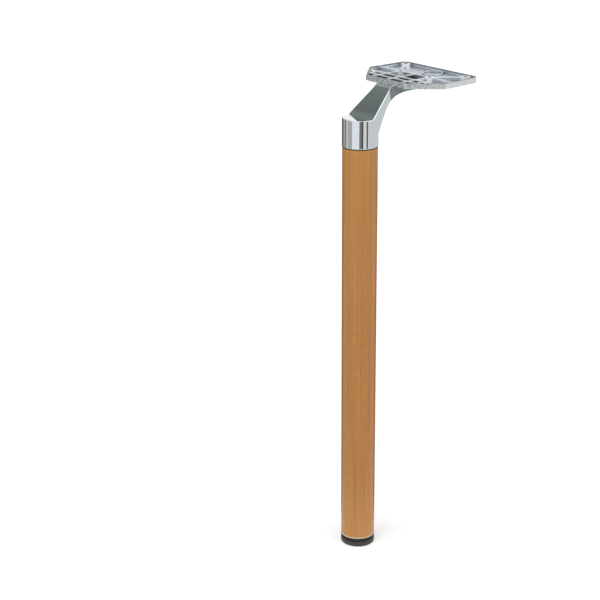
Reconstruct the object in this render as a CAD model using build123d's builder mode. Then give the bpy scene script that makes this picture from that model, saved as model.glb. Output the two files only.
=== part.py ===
"""Table leg: a die-cast mounting bracket, a round tube and a screw-in levelling foot.

Millimetres, +Z up. The leg's axis is Z and the floor is Z = 0. The bracket's arm leans towards +X.
"""
import os
from math import acos, atan2, cos, degrees, hypot, radians, sin, sqrt, tan

from build123d import *

# Leg tube
overall_height = 700.0
tube_diameter = 50.0
tube_wall = 1.5
tube_end_chamfer = 0.4

# Levelling foot, from the floor up
pad_height = 8.5
pad_edge_radius = 2.5
foot_gap = 1.0
flange_height = 4.0
flange_edge_radius = 0.6

# Stud and nut, metric coarse thread
stud_diameter = 8.0
stud_length = 36.0
stud_tip_chamfer = 1.0
stud_head_diameter = 16.0
stud_head_thickness = 3.0
stud_head_floor = 2.5
nut_across_flats = 13.0
nut_thickness = 6.5
thread_clearance = 0.05

# End plug
plug_depth = 30.0
plug_skirt_wall = 2.2
plug_hub_diameter = 20.0
plug_hub_height = 14.0
plug_web_thickness = 1.8
plug_web_count = 6
plug_fit = 0.05
stud_passage = 0.4
nut_seat_height = 4.0
nut_fit = 0.05

# Bracket collar and spigot
collar_diameter = 51.0
collar_height = 40.0
collar_edge_radius = 0.8
spigot_depth = 40.0
spigot_fit = 0.05
spigot_wall = 4.0
spigot_lead = 1.5
collar_roof = 13.0

# Bracket arm
arm_rise = 39.0
arm_face_foot = 0.5
arm_face_lap = 1.5
arm_neck_half = 16.6
arm_neck_back = 7.9
arm_side_inset = 0.15
arm_ridge_radius = 1.0
arm_flare_radius = 22.0
arm_flare_turn = 65.0
arm_root_half = 40.0
arm_root_end_half = 64.0
underside_angle = 60.0
underside_radius = 80.0
underside_end = 94.9

# Mounting plate, from its side nearest the leg to its far side
plate_near = 45.0
plate_near_half = 39.5
plate_shoulder = 86.0
plate_shoulder_half = 78.0
plate_far = 154.0
plate_far_half = 75.0
plate_far_cut = 6.0
plate_rim = 8.0
plate_rim_wall = 3.0
plate_floor = 2.5
plate_corner_radius = 3.0
plate_edge_radius = 1.0
core_wall = 3.5

# Ribs, bosses and screw holes of the plate
rib_thickness = 2.0
lattice_end = 102.0
cross_rib_first = 60.0
cross_rib_second = 74.0
long_rib_pitch = 30.0
well_radius = 13.0
well_inset = 17.5
well_height = 2.5
screw_hole_diameter = 5.5
boss_diameter = 13.0
near_screw_x = 66.0
near_screw_inset = 4.9
far_screw_x = 141.0
far_screw_half = 61.0

# Levels and radii that follow
tube_radius = tube_diameter / 2
tube_bore_radius = tube_radius - tube_wall
collar_radius = collar_diameter / 2
flange_bottom = pad_height + foot_gap
tube_bottom = flange_bottom + flange_height
plate_bottom = overall_height - plate_rim
floor_top = plate_bottom + plate_floor
collar_top = plate_bottom - arm_rise
collar_bottom = collar_top - collar_height
nut_bottom = flange_bottom + nut_seat_height
plug_top = tube_bottom + plug_depth

os.makedirs("parts", exist_ok=True)


# Leg tube
with BuildPart() as leg_tube:
    with BuildSketch(Plane.XY.offset(tube_bottom)):
        Circle(tube_radius)
        Circle(tube_bore_radius, mode=Mode.SUBTRACT)
    extrude(amount=collar_bottom - tube_bottom)
    rims = leg_tube.edges().filter_by(GeomType.CIRCLE)
    outer_rims = rims.filter_by(lambda rim: rim.radius > tube_bore_radius + tube_wall / 2)
    chamfer(outer_rims, length=tube_end_chamfer)


# Arm: a side profile, trimmed to the arm's outline seen from above
face_slope = (arm_rise + arm_face_lap) / (plate_near - arm_face_foot)
arm_top = floor_top - arm_face_lap / 2
face_top_x = arm_face_foot + (arm_top - collar_top) / face_slope
sweep_centre = (underside_end, plate_bottom - underside_radius)
sweep_start = (
    sweep_centre[0] - underside_radius * sin(radians(underside_angle)),
    sweep_centre[1] + underside_radius * cos(radians(underside_angle)),
)
sweep_middle = (
    sweep_centre[0] - underside_radius * sin(radians(underside_angle / 2)),
    sweep_centre[1] + underside_radius * cos(radians(underside_angle / 2)),
)
arm_foot = collar_bottom + collar_edge_radius
underside_foot_x = sweep_start[0] - (sweep_start[1] - arm_foot) / tan(radians(underside_angle))

neck = (plate_near - arm_neck_back, arm_neck_half)
side_radius = collar_radius - arm_side_inset
side_turn = atan2(neck[1], neck[0]) + acos(side_radius / hypot(*neck))
side_foot = (side_radius * cos(side_turn), side_radius * sin(side_turn))
side_direction = (neck[0] - side_foot[0], neck[1] - side_foot[1])
face_corner = (arm_face_foot, sqrt(side_radius**2 - arm_face_foot**2))
root_end = underside_end + core_wall


def arm_outline(inset):
    """Half of the arm seen from above, mirrored, with its side faces moved in by inset."""
    with BuildSketch() as outline:
        with BuildLine():
            foot = RadiusArc(face_corner, side_foot, side_radius)
            side = Line(side_foot, neck)
            flare = JernArc(neck, side_direction, arm_flare_radius, arm_flare_turn)
            flare_end = flare @ 1
            flare_heading = flare % 1
            root_start = flare_end.X + (arm_root_half - flare_end.Y) * flare_heading.X / flare_heading.Y
            Polyline(
                flare_end,
                (root_start, arm_root_half),
                (root_end, arm_root_end_half),
                (root_end, 0),
                (arm_face_foot, 0),
                foot @ 0,
            )
        make_face()
        mirror(about=Plane.XZ)
        if inset:
            offset(amount=-inset, kind=Kind.INTERSECTION)
    return outline.sketch


with BuildPart() as arm:
    with BuildSketch(Plane.XZ):
        with BuildLine():
            Polyline(
                sweep_start,
                (underside_foot_x, arm_foot),
                (arm_face_foot, arm_foot),
                (arm_face_foot, collar_top),
                (face_top_x, arm_top),
                (underside_end, arm_top),
                (underside_end, plate_bottom),
            )
            ThreePointArc((underside_end, plate_bottom), sweep_middle, sweep_start)
        make_face()
    extrude(amount=arm_root_end_half, both=True)
    extrude(arm_outline(0), amount=overall_height, mode=Mode.INTERSECT)
    face_middle = ((arm_face_foot + face_top_x) / 2, 0, (collar_top + arm_top) / 2)
    sloped_face = arm.faces().sort_by_distance(face_middle)[0]
    ridges = sloped_face.edges().filter_by(lambda edge: abs(edge.center().Y) > arm_neck_half / 2)
    fillet(ridges, radius=arm_ridge_radius)


# Plate blank: the outline seen from above, with its corners and lower edge rounded
def plate_outline():
    """The plate seen from above, as a closed half outline mirrored across the leg's middle plane."""
    with BuildSketch() as outline:
        with BuildLine():
            Polyline(
                (plate_near, 0),
                (plate_near, plate_near_half),
                (plate_shoulder, plate_shoulder_half),
                (plate_far - plate_far_cut, plate_far_half),
                (plate_far, plate_far_half - plate_far_cut),
                (plate_far, 0),
                close=True,
            )
        make_face()
        mirror(about=Plane.XZ)
        corners = outline.vertices().filter_by(lambda corner: abs(corner.Y) > plate_near_half / 2)
        fillet(corners, radius=plate_corner_radius)
    return outline.sketch


with BuildPart() as plate:
    with BuildSketch(Plane.XY.offset(plate_bottom)):
        add(plate_outline())
    extrude(amount=plate_rim)
    fillet(plate.faces().sort_by(Axis.Z)[0].edges(), radius=plate_edge_radius)


# What is cored out of the plate and the arm's root, less the ribs and bosses that stay
shoulder_turn = atan2(plate_shoulder_half - plate_near_half, plate_shoulder - plate_near)
shoulder_edge = plate_near_half + (near_screw_x - plate_near) * tan(shoulder_turn)
near_screw_half = shoulder_edge - near_screw_inset / cos(shoulder_turn)
screw_places = [
    (near_screw_x, near_screw_half),
    (lattice_end, long_rib_pitch),
    (far_screw_x, far_screw_half),
]
screw_points = [(x, side * half) for x, half in screw_places for side in (1, -1)]
brace = (far_screw_x - lattice_end, far_screw_half - long_rib_pitch)
brace_angle = degrees(atan2(brace[1], brace[0]))
core_radius = underside_radius + core_wall

with BuildSketch() as stays:
    with Locations(*[(x, 0) for x in (cross_rib_first, cross_rib_second, lattice_end)]):
        Rectangle(rib_thickness, 4 * plate_far_half)
    with Locations(*[(0, step * long_rib_pitch) for step in (-1, 0, 1)]):
        Rectangle(lattice_end, rib_thickness, align=(Align.MIN, Align.CENTER))
    for side in (1, -1):
        with Locations((lattice_end, side * long_rib_pitch)):
            Rectangle(
                hypot(*brace), rib_thickness, rotation=side * brace_angle, align=(Align.MIN, Align.CENTER)
            )
    with Locations(*screw_points):
        Circle(boss_diameter / 2)

with BuildPart() as core:
    with BuildSketch(Plane.XZ):
        with Locations((plate_near + plate_rim_wall, sweep_centre[1])):
            Rectangle(
                underside_end - plate_near - plate_rim_wall,
                overall_height - sweep_centre[1],
                align=(Align.MIN, Align.MIN),
            )
        with Locations(sweep_centre):
            Circle(core_radius, mode=Mode.SUBTRACT)
    extrude(amount=arm_root_end_half, both=True)
    extrude(arm_outline(core_wall), amount=overall_height, mode=Mode.INTERSECT)

with BuildPart() as hollows:
    with BuildSketch(Plane.XY.offset(floor_top)):
        add(plate_outline())
        offset(amount=-plate_rim_wall, kind=Kind.INTERSECTION)
    extrude(amount=overall_height - floor_top)
    add(core.part)
    with BuildSketch():
        add(stays.sketch)
    extrude(amount=overall_height, mode=Mode.SUBTRACT)
    with BuildSketch(Plane.XY.offset(floor_top)):
        with Locations((plate_far - well_inset, 0)):
            Circle(well_radius + rib_thickness)
            Circle(well_radius, mode=Mode.SUBTRACT)
    extrude(amount=well_height, mode=Mode.SUBTRACT)


# Mounting bracket: collar, spigot, arm and plate in one casting
spigot_radius = tube_bore_radius - spigot_fit
with BuildPart() as mounting_bracket:
    with BuildSketch(Plane.XY.offset(collar_bottom)):
        Circle(collar_radius)
    extrude(amount=collar_height)
    fillet(mounting_bracket.edges().filter_by(GeomType.CIRCLE), radius=collar_edge_radius)
    with BuildSketch(Plane.XY.offset(collar_bottom)):
        Circle(spigot_radius)
    extrude(amount=-spigot_depth)
    chamfer(mounting_bracket.edges().sort_by(Axis.Z)[0], length=spigot_lead)
    add(arm.part)
    add(plate.part)
    with BuildSketch(Plane.XY.offset(collar_bottom - spigot_depth)):
        Circle(spigot_radius - spigot_wall)
    extrude(amount=spigot_depth + collar_height - collar_roof, mode=Mode.SUBTRACT)
    add(hollows.part, mode=Mode.SUBTRACT)
    with BuildSketch(Plane.XY.offset(plate_bottom)):
        with Locations(*screw_points):
            Circle(screw_hole_diameter / 2)
    extrude(amount=plate_rim, mode=Mode.SUBTRACT)


# Tube plug: a flanged cup with a hub that holds the nut, braced by webs
plug_radius = tube_bore_radius - plug_fit
with BuildPart() as tube_plug:
    with BuildSketch(Plane.XY.offset(flange_bottom)):
        Circle(tube_radius)
    extrude(amount=flange_height)
    fillet(tube_plug.edges().sort_by(Axis.Z)[0], radius=flange_edge_radius)
    with BuildSketch(Plane.XY.offset(tube_bottom)):
        Circle(plug_radius)
        Circle(plug_radius - plug_skirt_wall, mode=Mode.SUBTRACT)
    extrude(amount=plug_depth)
    with BuildSketch(Plane.XY.offset(tube_bottom)):
        Circle(plug_hub_diameter / 2)
        with PolarLocations(0, plug_web_count):
            Rectangle(
                plug_radius - plug_skirt_wall / 2, plug_web_thickness, align=(Align.MIN, Align.CENTER)
            )
    extrude(amount=plug_hub_height)
    with BuildSketch(Plane.XY.offset(nut_bottom)):
        RegularPolygon(nut_across_flats / 2 + nut_fit, 6, major_radius=False)
    extrude(amount=plug_top - nut_bottom, mode=Mode.SUBTRACT)
    with Locations((0, 0, flange_bottom)):
        Hole(stud_diameter / 2 + stud_passage, depth=2 * plug_depth)


# Plug nut
with BuildPart() as plug_nut:
    with BuildSketch(Plane.XY.offset(nut_bottom)):
        RegularPolygon(nut_across_flats / 2, 6, major_radius=False)
        Circle(stud_diameter / 2 + thread_clearance, mode=Mode.SUBTRACT)
    extrude(amount=nut_thickness)


# Adjuster stud, with a round head that is moulded into the pad
with BuildPart() as adjuster_stud:
    with BuildSketch(Plane.XY.offset(stud_head_floor)):
        Circle(stud_head_diameter / 2)
    extrude(amount=stud_head_thickness)
    with BuildSketch(Plane.XY.offset(stud_head_floor + stud_head_thickness)):
        Circle(stud_diameter / 2)
    extrude(amount=stud_length)
    chamfer(adjuster_stud.edges().sort_by(Axis.Z)[-1], length=stud_tip_chamfer)


# Foot pad: a disc with a rounded lower edge, moulded round the stud's head
with BuildPart() as foot_pad:
    with BuildSketch():
        Circle(tube_radius)
    extrude(amount=pad_height)
    fillet(foot_pad.edges().sort_by(Axis.Z)[0], radius=pad_edge_radius)
    with BuildSketch(Plane.XY.offset(stud_head_floor)):
        Circle(stud_head_diameter / 2 + thread_clearance)
    extrude(amount=stud_head_thickness + thread_clearance, mode=Mode.SUBTRACT)
    with BuildSketch(Plane.XY.offset(stud_head_floor)):
        Circle(stud_diameter / 2 + thread_clearance)
    extrude(amount=pad_height, mode=Mode.SUBTRACT)


pieces = {
    "mounting_bracket": mounting_bracket,
    "leg_tube": leg_tube,
    "tube_plug": tube_plug,
    "plug_nut": plug_nut,
    "adjuster_stud": adjuster_stud,
    "foot_pad": foot_pad,
}
for name, piece in pieces.items():
    piece.part.label = name
    export_step(piece.part, f"parts/{name}.step")
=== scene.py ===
"""Looks, light and camera for the table leg.

Metres, in the part's own frame: +Z up the leg, +X towards the mounting plate, floor at Z = 0.
"""
import math

import bpy
from mathutils import Matrix, Vector


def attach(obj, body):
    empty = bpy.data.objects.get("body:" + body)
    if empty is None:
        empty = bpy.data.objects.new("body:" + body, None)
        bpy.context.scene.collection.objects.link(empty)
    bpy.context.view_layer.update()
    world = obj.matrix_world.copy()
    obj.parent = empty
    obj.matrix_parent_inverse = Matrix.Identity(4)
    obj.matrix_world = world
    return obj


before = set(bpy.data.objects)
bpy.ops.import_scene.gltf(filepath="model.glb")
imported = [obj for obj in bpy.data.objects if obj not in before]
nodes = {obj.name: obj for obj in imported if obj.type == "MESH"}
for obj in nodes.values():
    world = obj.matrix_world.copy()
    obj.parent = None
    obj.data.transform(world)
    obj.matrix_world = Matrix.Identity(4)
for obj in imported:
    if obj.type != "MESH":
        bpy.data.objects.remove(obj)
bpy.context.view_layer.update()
scene = bpy.context.scene
scene.view_settings.view_transform = "Standard"

# Camera: where it stands and how it is turned
camera_place = Vector((-1.4378, -1.6293, 1.161))
camera_lens = 96.36
camera_sensor = 36.0
camera_heading = math.radians(-39.19)
camera_pitch = math.radians(19.65)
camera_roll = math.radians(-0.37)
camera_side = math.degrees(math.atan2(camera_place.y, camera_place.x))

# Plate: one half of its outline from above, and the levels and depths that its finishes, painted shade and
# painted reflections change at
plate_corners = [
    (0.045, 0.0),
    (0.045, 0.0395),
    (0.086, 0.078),
    (0.148, 0.075),
    (0.154, 0.069),
    (0.154, 0.0),
]
plate_underside = 0.6919
tray_floor = 0.6943
# A band of painted shade at the foot of the tray's walls
wall_foot_shade = (0.6947, 0.6956)
wall_depth = 0.0016
rim_wall = 0.0029
rim_edge_level = 0.6987
rim_edge_depth = 0.0034
crest_level = 0.6986
ground_level = 0.6998
skin_change = (0.045, 0.092)
smooth_start = (0.084, 0.092)

# Inside the plate: cells between the ribs, screw bosses and the ring-shaped well, which take painted shade
# and painted highlights
cell_shade_levels = (0.6975, 0.6997)
cell_reach = [(0.0735, 0.047), (0.1005, 0.0285)]
boss_places = [(0.066, 0.0525), (0.102, 0.030), (0.141, 0.061)]
boss_radius = 0.0067
bore_radius = 0.0030
well_centre = (0.1365, 0.0, 0.0)
well_rim = (0.0129, 0.0153)

# Arm: its flared root, the hollow in it, and its flat face
flare_line = [(0.0595, 0.0241), (0.0724, 0.040)]
sweep_centre = (0.0949, 0.0, 0.612)
sweep_skin = 0.0818
neck_half = 0.0158
root_start = (0.037, 0.0395)
root_lean = 0.2
face_end = (0.0402, 0.0412)
face_slope = (0.35, 0.95)
face_tilt = 0.2
# Levels of the face's painted highlight at its foot and of its painted shade rising to pale
face_highlight_foot = (0.6545, 0.6615)
face_shade_rise = (0.6615, 0.690)
arm_middle = (0.02, 0.0, 0.672)

# Casting's finish
polish_roughness = (0.04, 0.08)
satin_roughness = (0.36, 0.46)
ground_smoothing = 0.6
dry_metal = 0.35
cast_grain = 0.00005

# Tube: the ends of its film, and the stretches where the wood is paler
film_end = 0.0156
film_top = 0.6114
pale_top = (0.34, 0.61)
pale_foot = (0.03, 0.13)
film_roughness = (0.26, 0.38)
pore_depth = 0.00004

# Foot, nut and stud
plastic_roughness = (0.42, 0.55)
plastic_grain = 0.00006
zinc_roughness = (0.24, 0.38)

# Parts of a noise's range that a change is spread over, and the axes a distance counts
narrow = (0.38, 0.62)
wide = (0.3, 0.7)
falling = (1.0, 0.0)
from_above = (1, 1, 0)
from_the_side = (1, 0, 1)


def make_material(name):
    """A new node material, its tree and its shader."""
    material = bpy.data.materials.new(name)
    material.use_nodes = True
    return material, material.node_tree, material.node_tree.nodes["Principled BSDF"]


def place(obj, material):
    """Gives obj one material."""
    obj.data.materials.clear()
    obj.data.materials.append(material)


def link(tree, out, into):
    tree.links.new(out, into)


def maths(tree, operation, first, second):
    """A Math node's output, from sockets or numbers."""
    node = tree.nodes.new("ShaderNodeMath")
    node.operation = operation
    for socket, value in zip(node.inputs, (first, second)):
        if isinstance(value, (int, float)):
            socket.default_value = value
        else:
            link(tree, value, socket)
    return node.outputs[0]


def both(tree, first, second):
    return maths(tree, "MULTIPLY", first, second)


def either(tree, first, second):
    return maths(tree, "MAXIMUM", first, second)


def over(tree, value, limit):
    """1 where value is above limit."""
    return maths(tree, "GREATER_THAN", value, limit)


def under(tree, value, limit):
    """1 where value is below limit."""
    return maths(tree, "LESS_THAN", value, limit)


def between(tree, value, low, high):
    """1 where value lies between two limits."""
    return both(tree, over(tree, value, low), under(tree, value, high))


def spread(tree, value, low, high, to_low=0.0, to_high=1.0):
    """value taken from one range to another, held at its ends."""
    node = tree.nodes.new("ShaderNodeMapRange")
    node.inputs["From Min"].default_value = low
    node.inputs["From Max"].default_value = high
    node.inputs["To Min"].default_value = to_low
    node.inputs["To Max"].default_value = to_high
    link(tree, value, node.inputs["Value"])
    return node.outputs["Result"]


def blend_colours(tree, share, first, second):
    """Two colours, or sockets, mixed by share."""
    node = tree.nodes.new("ShaderNodeMix")
    node.data_type = "RGBA"
    link(tree, share, node.inputs["Factor"])
    colour_inputs = [socket for socket in node.inputs if socket.type == "RGBA"]
    for socket, value in zip(colour_inputs, (first, second)):
        if isinstance(value, tuple):
            socket.default_value = (*value, 1.0)
        else:
            link(tree, value, socket)
    return [socket for socket in node.outputs if socket.type == "RGBA"][0]


def stretched(tree, scale):
    """Object coordinates scaled along each axis."""
    coords = tree.nodes.new("ShaderNodeTexCoord")
    mapping = tree.nodes.new("ShaderNodeMapping")
    mapping.inputs["Scale"].default_value = scale
    link(tree, coords.outputs["Object"], mapping.inputs["Vector"])
    return mapping.outputs["Vector"]


def noise(tree, scale, detail=3.0, roughness=0.5, distortion=0.0):
    """A noise texture's value, at the given number of features a metre along each axis."""
    node = tree.nodes.new("ShaderNodeTexNoise")
    node.inputs["Scale"].default_value = 1.0
    node.inputs["Detail"].default_value = detail
    node.inputs["Roughness"].default_value = roughness
    node.inputs["Distortion"].default_value = distortion
    link(tree, stretched(tree, scale), node.inputs["Vector"])
    return node.outputs["Fac"]


def bump(tree, height, depth, strength):
    node = tree.nodes.new("ShaderNodeBump")
    node.inputs["Strength"].default_value = strength
    node.inputs["Distance"].default_value = depth
    link(tree, height, node.inputs["Height"])
    return node.outputs["Normal"]


def object_point(tree):
    """A point's place in the part's frame with its signs dropped, and its three parts."""
    coords = tree.nodes.new("ShaderNodeTexCoord")
    half = tree.nodes.new("ShaderNodeVectorMath")
    half.operation = "ABSOLUTE"
    link(tree, coords.outputs["Object"], half.inputs[0])
    parts = tree.nodes.new("ShaderNodeSeparateXYZ")
    link(tree, half.outputs["Vector"], parts.inputs[0])
    return half.outputs["Vector"], parts.outputs


def distance(tree, point, axes, centre):
    """How far a point is from centre, counting only the axes that are 1."""
    flat = tree.nodes.new("ShaderNodeVectorMath")
    flat.operation = "MULTIPLY"
    flat.inputs[1].default_value = axes
    link(tree, point, flat.inputs[0])
    reach = tree.nodes.new("ShaderNodeVectorMath")
    reach.operation = "DISTANCE"
    reach.inputs[1].default_value = centre
    link(tree, flat.outputs["Vector"], reach.inputs[0])
    return reach.outputs["Value"]


def depth_inside(tree, point, start, end):
    """How far a point lies inside the edge from start to end, seen from above."""
    run = Vector(end) - Vector(start)
    inward = Vector((run.y, -run.x)).normalized()
    dot = tree.nodes.new("ShaderNodeVectorMath")
    dot.operation = "DOT_PRODUCT"
    link(tree, point, dot.inputs[0])
    dot.inputs[1].default_value = (inward.x, inward.y, 0.0)
    return maths(tree, "SUBTRACT", dot.outputs["Value"], inward.dot(Vector(start)))


def rim_depth(tree, point):
    """How far inside the plate's outline a point lies, and how far inside its near edge alone."""
    edges = list(zip(plate_corners, plate_corners[1:]))
    near_depth = depth_inside(tree, point, *edges[0])
    depth = near_depth
    for start, end in edges[1:]:
        depth = maths(tree, "MINIMUM", depth, depth_inside(tree, point, start, end))
    return depth, near_depth


def tray_mask(tree, point, level, depth, near_depth):
    """1 on the as-cast inside of the plate and of the arm's root, 0 on the polished outside."""
    above = over(tree, level, tray_floor)
    root_depth = maths(tree, "MINIMUM", near_depth, depth_inside(tree, point, *flare_line))
    over_sweep = over(tree, distance(tree, point, from_the_side, sweep_centre), sweep_skin)
    below = both(tree, over(tree, root_depth, wall_depth), over_sweep)
    return both(tree, over(tree, depth, wall_depth), either(tree, above, below))


def cell_shade_mask(tree, parts):
    """Painted shade: 1 in the cells between the ribs, fading to 0 at the ribs' tops."""
    cell_shade = [
        both(tree, under(tree, parts["X"], far), under(tree, parts["Y"], half))
        for far, half in cell_reach
    ]
    return both(tree, either(tree, *cell_shade), spread(tree, parts["Z"], *cell_shade_levels, *falling))


def from_boss(tree, point):
    """How far a point is from the nearest screw's axis."""
    nearest, *others = [distance(tree, point, from_above, (*spot, 0.0)) for spot in boss_places]
    for reach in others:
        nearest = maths(tree, "MINIMUM", nearest, reach)
    return nearest


def root_mask(tree, parts):
    """1 on the arm's flared root, from a line that leans across its side."""
    lean = maths(tree, "MULTIPLY", maths(tree, "SUBTRACT", parts["Z"], plate_underside), root_lean)
    along = spread(tree, maths(tree, "ADD", parts["X"], lean), *root_start)
    return both(tree, over(tree, parts["Y"], neck_half), along)


def face_mask(tree):
    """1 on the arm's sloping flat face, told by which way the surface faces."""
    coords = tree.nodes.new("ShaderNodeTexCoord")
    lean = tree.nodes.new("ShaderNodeSeparateXYZ")
    link(tree, coords.outputs["Normal"], lean.inputs[0])
    level_across = under(tree, maths(tree, "ABSOLUTE", lean.outputs["Y"], 0.0), face_tilt)
    leans_back = under(tree, lean.outputs["X"], 0.0)
    return both(tree, both(tree, level_across, leans_back), between(tree, lean.outputs["Z"], *face_slope))


def casting_masks(tree, point, parts):
    """Where each finish of the casting lies, as values from 0 to 1."""
    depth, near_depth = rim_depth(tree, point)
    inside = tray_mask(tree, point, parts["Z"], depth, near_depth)
    plate = over(tree, parts["Z"], plate_underside)
    ground = over(tree, parts["Z"], ground_level)
    # Painted dark reflection on the rim's ground top and along its inner top edge
    ground_rim_reflection = both(tree, ground, under(tree, depth, rim_wall))
    rim_edge_reflection = both(tree, over(tree, parts["Z"], rim_edge_level), inside)
    rim_edge_reflection = both(tree, rim_edge_reflection, under(tree, depth, rim_edge_depth))
    well_reach = distance(tree, point, from_above, well_centre)
    screw_reach = from_boss(tree, point)
    root = root_mask(tree, parts)
    face_top = both(tree, under(tree, parts["Y"], neck_half), spread(tree, parts["X"], *face_end))
    return {
        "inside": inside,
        "plate": plate,
        "ground": ground,
        "crest": either(tree, ground, both(tree, inside, over(tree, parts["Z"], crest_level))),
        "rim_top_dark_reflection": either(tree, ground_rim_reflection, rim_edge_reflection),
        "cell_shade": cell_shade_mask(tree, parts),
        "well_shade": both(tree, inside, under(tree, well_reach, well_rim[0])),
        "well_ring_highlight": both(tree, inside, between(tree, well_reach, *well_rim)),
        "wall_foot_shade": both(tree, inside, between(tree, parts["Z"], *wall_foot_shade)),
        "boss": both(tree, inside, under(tree, screw_reach, boss_radius)),
        "bore_shade": both(tree, inside, under(tree, screw_reach, bore_radius)),
        "root": root,
        "face": face_mask(tree),
        "face_top": face_top,
        "satin": either(tree, plate, either(tree, root, face_top)),
    }


def painted_face_light(tree, level):
    """The flat face: a painted highlight at its foot, then painted shade that grows paler as the face
    rises, with buffing marks.
    """
    # Painted shade, dark low on the face and pale at its top, and a painted highlight at its foot
    painted_sheen = blend_colours(tree, spread(tree, level, *face_shade_rise), (0.67, 0.675, 0.68), (0.92, 0.925, 0.93))
    painted_sheen = blend_colours(tree, spread(tree, level, *face_highlight_foot, *falling), painted_sheen, (0.99, 0.99, 0.985))
    buffing = spread(tree, noise(tree, (420, 420, 420), roughness=0.6), *narrow, 0.3, 0.0)
    return blend_colours(tree, buffing, painted_sheen, (0.46, 0.465, 0.46))


def casting_colour(tree, parts, masks):
    """Polished collar and arm, satin plate and root, dull tray; painted shade on the root, in the tray's
    cells, well, wall feet and bores; painted highlights on the face, the well's ring and the bosses; a
    painted dark reflection on the rim tops.
    """
    speckle = spread(tree, noise(tree, (480, 480, 480), detail=4.0, roughness=0.6), *narrow)
    polish = blend_colours(tree, speckle, (0.81, 0.82, 0.83), (0.87, 0.875, 0.88))
    polish = blend_colours(tree, masks["face"], polish, painted_face_light(tree, parts["Z"]))
    polish = blend_colours(tree, masks["face_top"], polish, (0.66, 0.685, 0.69))
    # Painted shade on the arm's flared root under the plate
    painted_root_shade = blend_colours(tree, speckle, (0.25, 0.275, 0.27), (0.31, 0.335, 0.33))
    near_skin = blend_colours(tree, speckle, (0.30, 0.33, 0.345), (0.82, 0.87, 0.90))
    far_skin = blend_colours(tree, speckle, (0.735, 0.745, 0.76), (0.905, 0.91, 0.91))
    skin = blend_colours(tree, spread(tree, parts["X"], *skin_change), near_skin, far_skin)
    tray = blend_colours(tree, speckle, (0.55, 0.582, 0.62), (0.735, 0.767, 0.805))
    # Painted shade in the cells between the ribs
    tray = blend_colours(tree, masks["cell_shade"], tray, (0.115, 0.155, 0.18))
    # Painted shade in the well
    tray = blend_colours(tree, masks["well_shade"], tray, (0.45, 0.48, 0.52))
    # Painted highlight on the well's ring
    tray = blend_colours(tree, masks["well_ring_highlight"], tray, (0.80, 0.82, 0.84))
    # Painted shade at the foot of the walls
    tray = blend_colours(tree, masks["wall_foot_shade"], tray, (0.26, 0.28, 0.29))
    # Bosses paler than the tray: a painted highlight on their walls
    tray = blend_colours(tree, masks["boss"], tray, (0.90, 0.91, 0.92))
    # The flared root takes its painted shade
    colour = blend_colours(tree, masks["root"], polish, painted_root_shade)
    colour = blend_colours(tree, masks["plate"], colour, skin)
    colour = blend_colours(tree, masks["inside"], colour, tray)
    colour = blend_colours(tree, masks["crest"], colour, (0.885, 0.93, 0.975))
    # Painted dark reflection on the rim tops
    colour = blend_colours(tree, masks["rim_top_dark_reflection"], colour, (0.15, 0.16, 0.165))
    # Painted shade in the screw bores
    return blend_colours(tree, masks["bore_shade"], colour, (0.03, 0.034, 0.036))


def casting_material():
    """Die-cast aluminium: a polished collar and arm, a satin plate, a dull tray and ground tops, with
    painted light and shade in its colour.
    """
    material, tree, shader = make_material("polished_casting")
    point, parts = object_point(tree)
    masks = casting_masks(tree, point, parts)
    link(tree, casting_colour(tree, parts, masks), shader.inputs["Base Color"])
    flow = noise(tree, (90, 90, 90))
    polish_rough = spread(tree, flow, *wide, *polish_roughness)
    satin_rough = spread(tree, flow, *wide, *satin_roughness)
    step = maths(tree, "SUBTRACT", satin_rough, polish_rough)
    smoothed = maths(tree, "MULTIPLY", masks["ground"], ground_smoothing)
    dull = maths(tree, "SUBTRACT", masks["satin"], smoothed)
    rough = maths(tree, "ADD", polish_rough, both(tree, step, dull))
    link(tree, rough, shader.inputs["Roughness"])
    grain = noise(tree, (1400, 1400, 1400), detail=4.0, roughness=0.6)
    near_satin = both(tree, spread(tree, parts["X"], *smooth_start, *falling), masks["satin"])
    coarse = either(tree, near_satin, masks["inside"])
    link(tree, bump(tree, both(tree, grain, coarse), cast_grain, 0.6), shader.inputs["Normal"])
    dry = either(tree, masks["boss"], both(tree, masks["crest"], masks["inside"]))
    link(tree, spread(tree, dry, 0.0, 1.0, 1.0, dry_metal), shader.inputs["Metallic"])
    return material


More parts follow.
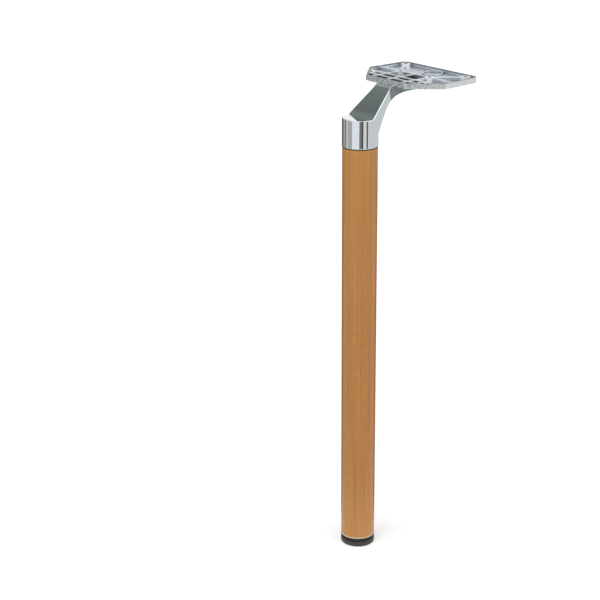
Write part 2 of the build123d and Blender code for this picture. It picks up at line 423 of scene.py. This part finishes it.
def cherry_material():
    """Cherry wood-grain film with streaks, pores and slow changes of hue, bare at its lower end."""
    material, tree, shader = make_material("cherry_tube")
    hue = noise(tree, (38, 38, 1.8), detail=2.0)
    streaks = noise(tree, (210, 210, 4.5), detail=4.0, roughness=0.62, distortion=0.6)
    pores = noise(tree, (1500, 1500, 38), detail=2.0)
    mottle = noise(tree, (130, 130, 95))
    coords = tree.nodes.new("ShaderNodeTexCoord")
    parts = tree.nodes.new("ShaderNodeSeparateXYZ")
    link(tree, coords.outputs["Object"], parts.inputs[0])
    level = parts.outputs["Z"]
    upper = spread(tree, level, *pale_top, 0.0, 0.25)
    lower = spread(tree, level, *pale_foot, 0.3, 0.0)
    joint = over(tree, level, film_top)
    bare = under(tree, level, film_end)
    wood = blend_colours(tree, spread(tree, hue, 0.35, 0.65), (0.445, 0.188, 0.033), (0.520, 0.199, 0.038))
    # Each layer over the wood's own colour: the share that it covers, and its colour
    layers = [
        (spread(tree, streaks, 0.30, 0.50, 0.75, 0.0), (0.345, 0.134, 0.024)),
        (spread(tree, streaks, 0.52, 0.70, 0.0, 0.65), (0.555, 0.256, 0.057)),
        (spread(tree, pores, 0.58, 0.72, 0.0, 0.4), (0.275, 0.096, 0.018)),
        (spread(tree, mottle, 0.36, 0.64, 0.4, 0.0), (0.395, 0.160, 0.030)),
        (either(tree, upper, lower), (0.67, 0.355, 0.115)),
        (joint, (0.035, 0.022, 0.014)),
        (bare, (0.63, 0.53, 0.36)),
    ]
    for share, colour in layers:
        wood = blend_colours(tree, share, wood, colour)
    link(tree, wood, shader.inputs["Base Color"])
    link(tree, bare, shader.inputs["Metallic"])
    link(tree, spread(tree, streaks, *wide, *film_roughness), shader.inputs["Roughness"])
    link(tree, bump(tree, pores, pore_depth, 0.5), shader.inputs["Normal"])
    return material


def plastic_material(name, dark, pale, shine):
    """Black moulded plastic with a fine spark-eroded texture."""
    material, tree, shader = make_material(name)
    grain = noise(tree, (2600, 2600, 2600))
    cloud = noise(tree, (120, 120, 120), detail=2.0)
    colour = blend_colours(tree, spread(tree, cloud, *wide), dark, pale)
    link(tree, colour, shader.inputs["Base Color"])
    link(tree, spread(tree, cloud, *wide, *plastic_roughness), shader.inputs["Roughness"])
    link(tree, bump(tree, grain, plastic_grain, 0.6), shader.inputs["Normal"])
    shader.inputs["Specular IOR Level"].default_value = shine
    return material


def zinc_material():
    """Zinc-plated steel with faint drawing lines along its length."""
    material, tree, shader = make_material("zinc_steel")
    lines = noise(tree, (1800, 1800, 60))
    colour = blend_colours(tree, spread(tree, lines, *wide), (0.55, 0.56, 0.56), (0.68, 0.68, 0.66))
    link(tree, colour, shader.inputs["Base Color"])
    link(tree, spread(tree, lines, *wide, *zinc_roughness), shader.inputs["Roughness"])
    shader.inputs["Metallic"].default_value = 1.0
    return material


# The plug's plastic is darker than the pad's: painted shade for the gap under the tube's end
shaded_plug_plastic = plastic_material("shaded_plug_plastic", (0.013, 0.0135, 0.0125), (0.018, 0.018, 0.017), 0.3)
pad_plastic = plastic_material("pad_plastic", (0.027, 0.028, 0.025), (0.038, 0.038, 0.034), 0.5)
zinc_steel = zinc_material()
place(nodes["mounting_bracket"], casting_material())
place(nodes["leg_tube"], cherry_material())
place(nodes["tube_plug"], shaded_plug_plastic)
place(nodes["foot_pad"], pad_plastic)
place(nodes["plug_nut"], zinc_steel)
place(nodes["adjuster_stud"], zinc_steel)

# Stage: a pale floor that stays under the foot, and cards that only the metal sees
white = (1.0, 1.0, 1.0, 1.0)
floor_half = 30.0
floor_tone = (0.88, 0.88, 0.88, 1.0)
floor_lift = 0.35
card_distance = 1.6
card_height = 1.0
card_step = 4
back_span = (126, 234)
back_tone = (0.03, 0.03, 0.03)
back_start = 0.10
back_lift = 0.002
low_back_distance = 1.5
low_back_height = 0.17


def seen_by_camera_or_metal(tree):
    """1 for what the camera sees, straight or in a reflection, and 0 for light on surfaces."""
    path = tree.nodes.new("ShaderNodeLightPath")
    seen = either(tree, path.outputs["Is Camera Ray"], path.outputs["Is Glossy Ray"])
    return either(tree, seen, path.outputs["Is Transmission Ray"])


def add_mesh(name, points, faces, material):
    """A new object with one material, put in the scene."""
    mesh = bpy.data.meshes.new(name)
    mesh.from_pydata(points, [], faces)
    mesh.materials.append(material)
    obj = bpy.data.objects.new(name, mesh)
    scene.collection.objects.link(obj)
    return obj


def add_square(name, half_size, material):
    corners = [(-half_size, -half_size, 0), (half_size, -half_size, 0)]
    corners += [(half_size, half_size, 0), (-half_size, half_size, 0)]
    return add_mesh(name, corners, [(0, 1, 2, 3)], material)


def make_floor():
    material, tree, shader = make_material("floor")
    shader.inputs["Base Color"].default_value = floor_tone
    shader.inputs["Roughness"].default_value = 0.9
    shader.inputs["Specular IOR Level"].default_value = 0.0
    shader.inputs["Emission Color"].default_value = white
    lift = maths(tree, "MULTIPLY", seen_by_camera_or_metal(tree), floor_lift)
    link(tree, lift, shader.inputs["Emission Strength"])
    floor = add_square("floor", floor_half, material)
    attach(floor, "foot")


def only_for_metal(obj):
    """The card shows in reflections alone: no shadow, and no light on anything."""
    obj.visible_camera = False
    obj.visible_diffuse = False
    obj.visible_shadow = False
    obj.visible_transmission = False


def card_material(name, tone):
    material = bpy.data.materials.new(name)
    material.use_nodes = True
    tree = material.node_tree
    tree.nodes.clear()
    glow = tree.nodes.new("ShaderNodeEmission")
    glow.inputs["Color"].default_value = (*tone, 1.0)
    out = tree.nodes.new("ShaderNodeOutputMaterial")
    link(tree, glow.outputs["Emission"], out.inputs["Surface"])
    return material


def curved_card(name, start, end, tone, near_edge, far_edge):
    """A card round the leg. Its ends are degrees from the camera's side, positive to its right.

    Each long edge is given as its distance from the leg and its height.
    """
    steps = max(2, int(abs(end - start) / card_step))
    points = []
    for step in range(steps + 1):
        angle = math.radians(camera_side + start + (end - start) * step / steps)
        for reach, height in (near_edge, far_edge):
            points.append((reach * math.cos(angle), reach * math.sin(angle), height))
    faces = [(2 * step, 2 * step + 2, 2 * step + 3, 2 * step + 1) for step in range(steps)]
    only_for_metal(add_mesh(name, points, faces, card_material(name, tone)))


def standing_card(name, start, end, tone):
    curved_card(name, start, end, tone, (card_distance, 0.0), (card_distance, card_height))


def sloping_card(name, centre, half_size, tone):
    """A square card with its middle at centre, turned to face the arm."""
    card = add_square(name, half_size, card_material(name, tone))
    card.location = centre
    card.rotation_euler = (Vector(arm_middle) - Vector(centre)).to_track_quat("Z", "Y").to_euler()
    only_for_metal(card)


make_floor()
back_edges = ((back_start, back_lift), (card_distance, back_lift))
low_back_edges = ((low_back_distance, 0.0), (low_back_distance, low_back_height))
curved_card("card_floor_back", *back_span, back_tone, *back_edges)
curved_card("card_low_back", *back_span, back_tone, *low_back_edges)
standing_card("card_left_back", -178, -126, (0.12, 0.125, 0.115))
standing_card("card_left_line", -126, -114, (0.56, 0.57, 0.53))
standing_card("card_left_gap", -114, -102, (0.07, 0.075, 0.07))
standing_card("card_left_slot", -101, -86, (0.52, 0.53, 0.52))
standing_card("card_left", -85, -51, (0.42, 0.43, 0.44))
standing_card("card_left_front", -50, -8, (0.80, 0.86, 0.93))
standing_card("card_front", -6, 10, (0.19, 0.20, 0.215))
standing_card("card_front_gap", 10, 20, (0.06, 0.065, 0.07))
standing_card("card_right_front", 21, 38, (0.70, 0.72, 0.71))
standing_card("card_right_gap", 39, 52, (0.13, 0.14, 0.14))
standing_card("card_right", 54, 180, (0.62, 0.66, 0.67))
sloping_card("card_above", (0.1, 1.46, 1.98), 1.1, (0.178, 0.211, 0.207))
sloping_card("card_front_above", (-0.47, -1.21, 1.36), 0.45, (0.48, 0.50, 0.51))
sloping_card("card_overhead", (-0.95, -0.35, 2.35), 1.0, (0.50, 0.52, 0.53))

# Light: an even sky, a soft key from the left and a softer fill from the right
sun_distance = 3.0
sun_width = 60
sky_seen = 1.0
sky_light = 0.4


def soft_sun(name, azimuth, elevation, strength):
    """A sun at degrees from the camera's side, positive to its right, and above the horizon."""
    data = bpy.data.lights.new(name, "SUN")
    data.energy = strength
    data.angle = math.radians(sun_width)
    sun = bpy.data.objects.new(name, data)
    around = math.radians(camera_side + azimuth)
    up = math.radians(elevation)
    towards = Vector((math.cos(around) * math.cos(up), math.sin(around) * math.cos(up), math.sin(up)))
    sun.rotation_euler = towards.to_track_quat("Z", "Y").to_euler()
    sun.location = towards * sun_distance
    scene.collection.objects.link(sun)


soft_sun("key", -40, 50, 1.3)
soft_sun("fill", 50, 35, 0.9)

world = bpy.data.worlds.new("studio")
world.use_nodes = True
scene.world = world
world_tree = world.node_tree
background = world_tree.nodes["Background"]
background.inputs["Color"].default_value = white
sky = maths(world_tree, "MULTIPLY", seen_by_camera_or_metal(world_tree), sky_seen - sky_light)
link(world_tree, maths(world_tree, "ADD", sky, sky_light), background.inputs["Strength"])

lens = bpy.data.cameras.new("camera")
lens.lens = camera_lens
lens.sensor_width = camera_sensor
camera = bpy.data.objects.new("camera", lens)
turn = Matrix.Rotation(camera_heading, 4, "Z") @ Matrix.Rotation(math.pi / 2 - camera_pitch, 4, "X")
camera.matrix_world = Matrix.Translation(camera_place) @ turn @ Matrix.Rotation(camera_roll, 4, "Z")
scene.collection.objects.link(camera)
scene.camera = camera
